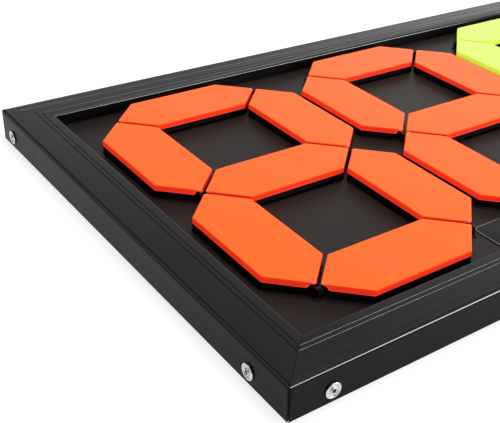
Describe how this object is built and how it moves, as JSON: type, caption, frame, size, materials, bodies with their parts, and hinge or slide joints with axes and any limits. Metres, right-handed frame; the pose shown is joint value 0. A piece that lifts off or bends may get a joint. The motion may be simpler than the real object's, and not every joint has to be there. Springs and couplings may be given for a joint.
{
  "type": "substitution board",
  "caption": "Hand-set seven-segment substitution board: mitred frame, black panel and pivoting coloured flaps that turn over to black.",
  "frame": {"origin": "middle of the board's footprint, on the plane of the frame's back", "axes": "+X along the width to the right of the display, +Y up the digits, +Z out of the display"},
  "size_m": [0.6304, 0.3008, 0.019],
  "materials": {
    "black_aluminium": "satin black anodised, fine lengthwise grain",
    "black_panel": "smooth satin black",
    "orange_flap": "fluorescent orange front, black back, satin",
    "yellow_flap": "fluorescent yellow-green front, black back, satin",
    "bracket_alloy": "mill finish",
    "rivet_alloy": "bright, lightly brushed"
  },
  "bodies": {
    "frame": {"rail_bottom": "black_aluminium", "rail_right": "black_aluminium", "rail_top": "black_aluminium", "rail_left": "black_aluminium", "display_panel": "black_panel", "bracket_bottom_left": "bracket_alloy", "bracket_bottom_right": "bracket_alloy", "bracket_top_left": "bracket_alloy", "bracket_top_right": "bracket_alloy", "rivet_bottom_1": "rivet_alloy", "rivet_bottom_2": "rivet_alloy", "rivet_right_1": "rivet_alloy", "rivet_right_2": "rivet_alloy", "rivet_top_1": "rivet_alloy", "rivet_top_2": "rivet_alloy", "rivet_left_1": "rivet_alloy", "rivet_left_2": "rivet_alloy"},
    "flap_digit1_top": {"digit1_top": "orange_flap"},
    "flap_digit1_upper_left": {"digit1_upper_left": "orange_flap"},
    "flap_digit1_upper_right": {"digit1_upper_right": "orange_flap"},
    "flap_digit1_middle": {"digit1_middle": "orange_flap"},
    "flap_digit1_lower_left": {"digit1_lower_left": "orange_flap"},
    "flap_digit1_lower_right": {"digit1_lower_right": "orange_flap"},
    "flap_digit1_bottom": {"digit1_bottom": "orange_flap"},
    "flap_digit2_top": {"digit2_top": "orange_flap"},
    "flap_digit2_upper_left": {"digit2_upper_left": "orange_flap"},
    "flap_digit2_upper_right": {"digit2_upper_right": "orange_flap"},
    "flap_digit2_middle": {"digit2_middle": "orange_flap"},
    "flap_digit2_lower_left": {"digit2_lower_left": "orange_flap"},
    "flap_digit2_lower_right": {"digit2_lower_right": "orange_flap"},
    "flap_digit2_bottom": {"digit2_bottom": "orange_flap"},
    "flap_digit3_top": {"digit3_top": "yellow_flap"},
    "flap_digit3_upper_left": {"digit3_upper_left": "yellow_flap"},
    "flap_digit3_upper_right": {"digit3_upper_right": "yellow_flap"},
    "flap_digit3_middle": {"digit3_middle": "yellow_flap"},
    "flap_digit3_lower_left": {"digit3_lower_left": "yellow_flap"},
    "flap_digit3_lower_right": {"digit3_lower_right": "yellow_flap"},
    "flap_digit3_bottom": {"digit3_bottom": "yellow_flap"},
    "flap_digit4_top": {"digit4_top": "yellow_flap"},
    "flap_digit4_upper_left": {"digit4_upper_left": "yellow_flap"},
    "flap_digit4_upper_right": {"digit4_upper_right": "yellow_flap"},
    "flap_digit4_middle": {"digit4_middle": "yellow_flap"},
    "flap_digit4_lower_left": {"digit4_lower_left": "yellow_flap"},
    "flap_digit4_lower_right": {"digit4_lower_right": "yellow_flap"},
    "flap_digit4_bottom": {"digit4_bottom": "yellow_flap"}
  },
  "joints": [
    {"name": "turn_digit1_top", "type": "hinge", "parent": "frame", "child": "flap_digit1_top", "pos_m": [-0.21285, 0.1, 0.0151], "axis": [1, 0, 0], "range_deg": [0, 180]},
    {"name": "turn_digit1_upper_left", "type": "hinge", "parent": "frame", "child": "flap_digit1_upper_left", "pos_m": [-0.26285, 0.05, 0.0151], "axis": [0, 1, 0], "range_deg": [0, 180]},
    {"name": "turn_digit1_upper_right", "type": "hinge", "parent": "frame", "child": "flap_digit1_upper_right", "pos_m": [-0.16285, 0.05, 0.0151], "axis": [0, 1, 0], "range_deg": [0, 180]},
    {"name": "turn_digit1_middle", "type": "hinge", "parent": "frame", "child": "flap_digit1_middle", "pos_m": [-0.21285, 0, 0.0151], "axis": [1, 0, 0], "range_deg": [0, 180]},
    {"name": "turn_digit1_lower_left", "type": "hinge", "parent": "frame", "child": "flap_digit1_lower_left", "pos_m": [-0.26285, -0.05, 0.0151], "axis": [0, 1, 0], "range_deg": [0, 180]},
    {"name": "turn_digit1_lower_right", "type": "hinge", "parent": "frame", "child": "flap_digit1_lower_right", "pos_m": [-0.16285, -0.05, 0.0151], "axis": [0, 1, 0], "range_deg": [0, 180]},
    {"name": "turn_digit1_bottom", "type": "hinge", "parent": "frame", "child": "flap_digit1_bottom", "pos_m": [-0.21285, -0.1, 0.0151], "axis": [1, 0, 0], "range_deg": [0, 180]},
    {"name": "turn_digit2_top", "type": "hinge", "parent": "frame", "child": "flap_digit2_top", "pos_m": [-0.07095, 0.1, 0.0151], "axis": [1, 0, 0], "range_deg": [0, 180]},
    {"name": "turn_digit2_upper_left", "type": "hinge", "parent": "frame", "child": "flap_digit2_upper_left", "pos_m": [-0.12095, 0.05, 0.0151], "axis": [0, 1, 0], "range_deg": [0, 180]},
    {"name": "turn_digit2_upper_right", "type": "hinge", "parent": "frame", "child": "flap_digit2_upper_right", "pos_m": [-0.02095, 0.05, 0.0151], "axis": [0, 1, 0], "range_deg": [0, 180]},
    {"name": "turn_digit2_middle", "type": "hinge", "parent": "frame", "child": "flap_digit2_middle", "pos_m": [-0.07095, 0, 0.0151], "axis": [1, 0, 0], "range_deg": [0, 180]},
    {"name": "turn_digit2_lower_left", "type": "hinge", "parent": "frame", "child": "flap_digit2_lower_left", "pos_m": [-0.12095, -0.05, 0.0151], "axis": [0, 1, 0], "range_deg": [0, 180]},
    {"name": "turn_digit2_lower_right", "type": "hinge", "parent": "frame", "child": "flap_digit2_lower_right", "pos_m": [-0.02095, -0.05, 0.0151], "axis": [0, 1, 0], "range_deg": [0, 180]},
    {"name": "turn_digit2_bottom", "type": "hinge", "parent": "frame", "child": "flap_digit2_bottom", "pos_m": [-0.07095, -0.1, 0.0151], "axis": [1, 0, 0], "range_deg": [0, 180]},
    {"name": "turn_digit3_top", "type": "hinge", "parent": "frame", "child": "flap_digit3_top", "pos_m": [0.07095, 0.1, 0.0151], "axis": [1, 0, 0], "range_deg": [0, 180]},
    {"name": "turn_digit3_upper_left", "type": "hinge", "parent": "frame", "child": "flap_digit3_upper_left", "pos_m": [0.02095, 0.05, 0.0151], "axis": [0, 1, 0], "range_deg": [0, 180]},
    {"name": "turn_digit3_upper_right", "type": "hinge", "parent": "frame", "child": "flap_digit3_upper_right", "pos_m": [0.12095, 0.05, 0.0151], "axis": [0, 1, 0], "range_deg": [0, 180]},
    {"name": "turn_digit3_middle", "type": "hinge", "parent": "frame", "child": "flap_digit3_middle", "pos_m": [0.07095, 0, 0.0151], "axis": [1, 0, 0], "range_deg": [0, 180]},
    {"name": "turn_digit3_lower_left", "type": "hinge", "parent": "frame", "child": "flap_digit3_lower_left", "pos_m": [0.02095, -0.05, 0.0151], "axis": [0, 1, 0], "range_deg": [0, 180]},
    {"name": "turn_digit3_lower_right", "type": "hinge", "parent": "frame", "child": "flap_digit3_lower_right", "pos_m": [0.12095, -0.05, 0.0151], "axis": [0, 1, 0], "range_deg": [0, 180]},
    {"name": "turn_digit3_bottom", "type": "hinge", "parent": "frame", "child": "flap_digit3_bottom", "pos_m": [0.07095, -0.1, 0.0151], "axis": [1, 0, 0], "range_deg": [0, 180]},
    {"name": "turn_digit4_top", "type": "hinge", "parent": "frame", "child": "flap_digit4_top", "pos_m": [0.21285, 0.1, 0.0151], "axis": [1, 0, 0], "range_deg": [0, 180]},
    {"name": "turn_digit4_upper_left", "type": "hinge", "parent": "frame", "child": "flap_digit4_upper_left", "pos_m": [0.16285, 0.05, 0.0151], "axis": [0, 1, 0], "range_deg": [0, 180]},
    {"name": "turn_digit4_upper_right", "type": "hinge", "parent": "frame", "child": "flap_digit4_upper_right", "pos_m": [0.26285, 0.05, 0.0151], "axis": [0, 1, 0], "range_deg": [0, 180]},
    {"name": "turn_digit4_middle", "type": "hinge", "parent": "frame", "child": "flap_digit4_middle", "pos_m": [0.21285, 0, 0.0151], "axis": [1, 0, 0], "range_deg": [0, 180]},
    {"name": "turn_digit4_lower_left", "type": "hinge", "parent": "frame", "child": "flap_digit4_lower_left", "pos_m": [0.16285, -0.05, 0.0151], "axis": [0, 1, 0], "range_deg": [0, 180]},
    {"name": "turn_digit4_lower_right", "type": "hinge", "parent": "frame", "child": "flap_digit4_lower_right", "pos_m": [0.26285, -0.05, 0.0151], "axis": [0, 1, 0], "range_deg": [0, 180]},
    {"name": "turn_digit4_bottom", "type": "hinge", "parent": "frame", "child": "flap_digit4_bottom", "pos_m": [0.21285, -0.1, 0.0151], "axis": [1, 0, 0], "range_deg": [0, 180]}
  ]
}
